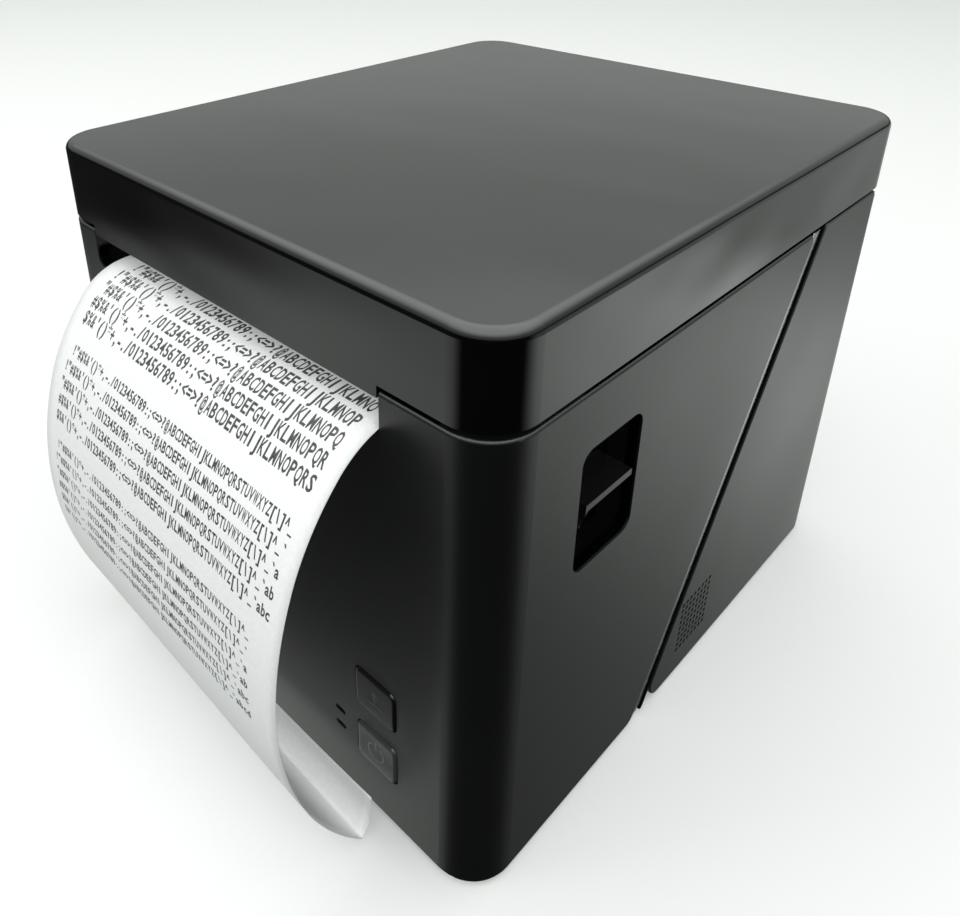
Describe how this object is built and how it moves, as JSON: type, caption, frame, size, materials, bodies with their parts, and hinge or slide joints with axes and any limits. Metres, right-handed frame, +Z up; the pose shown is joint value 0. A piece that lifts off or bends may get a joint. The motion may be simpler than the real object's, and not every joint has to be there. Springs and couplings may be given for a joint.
{
  "type": "receipt printer",
  "caption": "Desktop thermal receipt printer with a rear-hinged lid, side release levers, a front mouth with a curling receipt, and its print and cutter mechanism inside.",
  "frame": {"origin": "centre of the case's footprint, on the plane under the feet", "axes": "+Z up, -Y out of the front with the paper mouth, +X to the right seen from the front"},
  "size_m": [0.12, 0.1642, 0.115],
  "materials": {
    "satin_black": "satin moulded ABS, fine texture",
    "gloss_black": "polished ABS, faint green-grey sheen",
    "frame_black": "matt moulded ABS",
    "grey_plastic": "matt moulded plastic",
    "steel": "zinc plated sheet and ground steel",
    "spring_steel": "drawn wire",
    "aluminium": "extruded, plain",
    "rubber": "ground rubber",
    "white_acetal": "moulded acetal",
    "thermal_paper": "smooth coated thermal paper",
    "core_card": "wound grey card",
    "circuit_board": "green solder mask",
    "chip_black": "moulded epoxy",
    "ceramic_head": "fired and glazed",
    "socket_black": "moulded nylon",
    "button_black": "satin ABS key",
    "light_clear": "clear acrylic light pipe"
  },
  "bodies": {
    "case": {"front_case": "satin_black", "rear_case": "satin_black", "base_plate": "frame_black", "case_screws": "steel", "feet": "rubber", "inner_frame": "frame_black", "mechanism_frame": "steel", "platen_bearings": "white_acetal", "idler_pin": "steel", "stepper_motor": "steel", "cutter_guide": "steel", "cutter_motor": "steel", "hinge_brackets": "steel", "hinge_pins": "steel", "latch_spring": "spring_steel", "button_board": "circuit_board", "button_switches": "chip_black", "light_pipes": "light_clear", "roll_bucket": "grey_plastic", "paper_strip": "thermal_paper", "main_board": "circuit_board", "board_chips": "chip_black", "usb_socket": "steel", "lan_socket": "steel", "drawer_socket": "socket_black", "power_socket": "socket_black"},
    "lid": {"lid_cover": "gloss_black", "lid_liner": "grey_plastic", "lid_screws": "steel", "lid_catches": "steel", "lid_hinge_leaves": "steel", "print_head": "ceramic_head", "head_cooler": "aluminium", "head_springs": "spring_steel", "head_bracket": "steel", "fixed_blade": "steel", "tear_bar": "steel"},
    "platen": {"platen_shaft": "steel", "platen_roller": "rubber", "platen_gear": "white_acetal"},
    "idler": {"idler_gear": "white_acetal"},
    "motor_rotor": {"motor_pinion": "steel"},
    "cutter_blade": {"moving_blade": "steel"},
    "cutter_rotor": {"cutter_pinion": "steel"},
    "release_latch": {"latch_shaft": "steel", "release_lever_left": "satin_black", "release_lever_right": "satin_black"},
    "roll": {"paper_roll": "thermal_paper", "roll_core": "core_card"},
    "feed_key": {"feed_button": "button_black"},
    "power_key": {"power_button": "button_black"}
  },
  "joints": [
    {"name": "lid_hinge", "type": "hinge", "parent": "case", "child": "lid", "pos_m": [0, 0.069, 0.0985], "axis": [-1, 0, 0], "range_deg": [0, 80]},
    {"name": "platen_spin", "type": "hinge", "parent": "case", "child": "platen", "pos_m": [0, -0.05, 0.08595], "axis": [1, 0, 0], "continuous": true},
    {"name": "idler_spin", "type": "hinge", "parent": "case", "child": "idler", "pos_m": [0, -0.05, 0.06435], "axis": [1, 0, 0], "continuous": true},
    {"name": "motor_spin", "type": "hinge", "parent": "case", "child": "motor_rotor", "pos_m": [0, -0.05, 0.04755], "axis": [1, 0, 0], "continuous": true},
    {"name": "blade_slide", "type": "slide", "parent": "case", "child": "cutter_blade", "axis": [0, 0, 1], "range_m": [0, 0.004]},
    {"name": "cutter_spin", "type": "hinge", "parent": "case", "child": "cutter_rotor", "pos_m": [0.022, -0.0586, 0.07], "axis": [0, 1, 0], "range_deg": [0, 47.85]},
    {"name": "latch_turn", "type": "hinge", "parent": "case", "child": "release_latch", "pos_m": [0, -0.034, 0.075], "axis": [-1, 0, 0], "range_deg": [0, 16], "stiffness_Nm_per_rad": 0.25, "springref_deg": -8.59},
    {"name": "roll_spin", "type": "hinge", "parent": "case", "child": "roll", "pos_m": [-0.0018, 0.014, 0.046], "axis": [1, 0, 0], "continuous": true},
    {"name": "feed_press", "type": "slide", "parent": "case", "child": "feed_key", "axis": [0, 1, 0], "range_m": [0, 0.0008], "stiffness_N_per_m": 1500, "springref_m": -0.0003},
    {"name": "power_press", "type": "slide", "parent": "case", "child": "power_key", "axis": [0, 1, 0], "range_m": [0, 0.0008], "stiffness_N_per_m": 1500, "springref_m": -0.0003}
  ],
  "couplings": [
    {"joint": "idler_spin", "follows": "platen_spin", "ratio": -0.8},
    {"joint": "motor_spin", "follows": "platen_spin", "ratio": 2},
    {"joint": "cutter_spin", "follows": "blade_slide", "rad_per_m": 208.33}
  ]
}
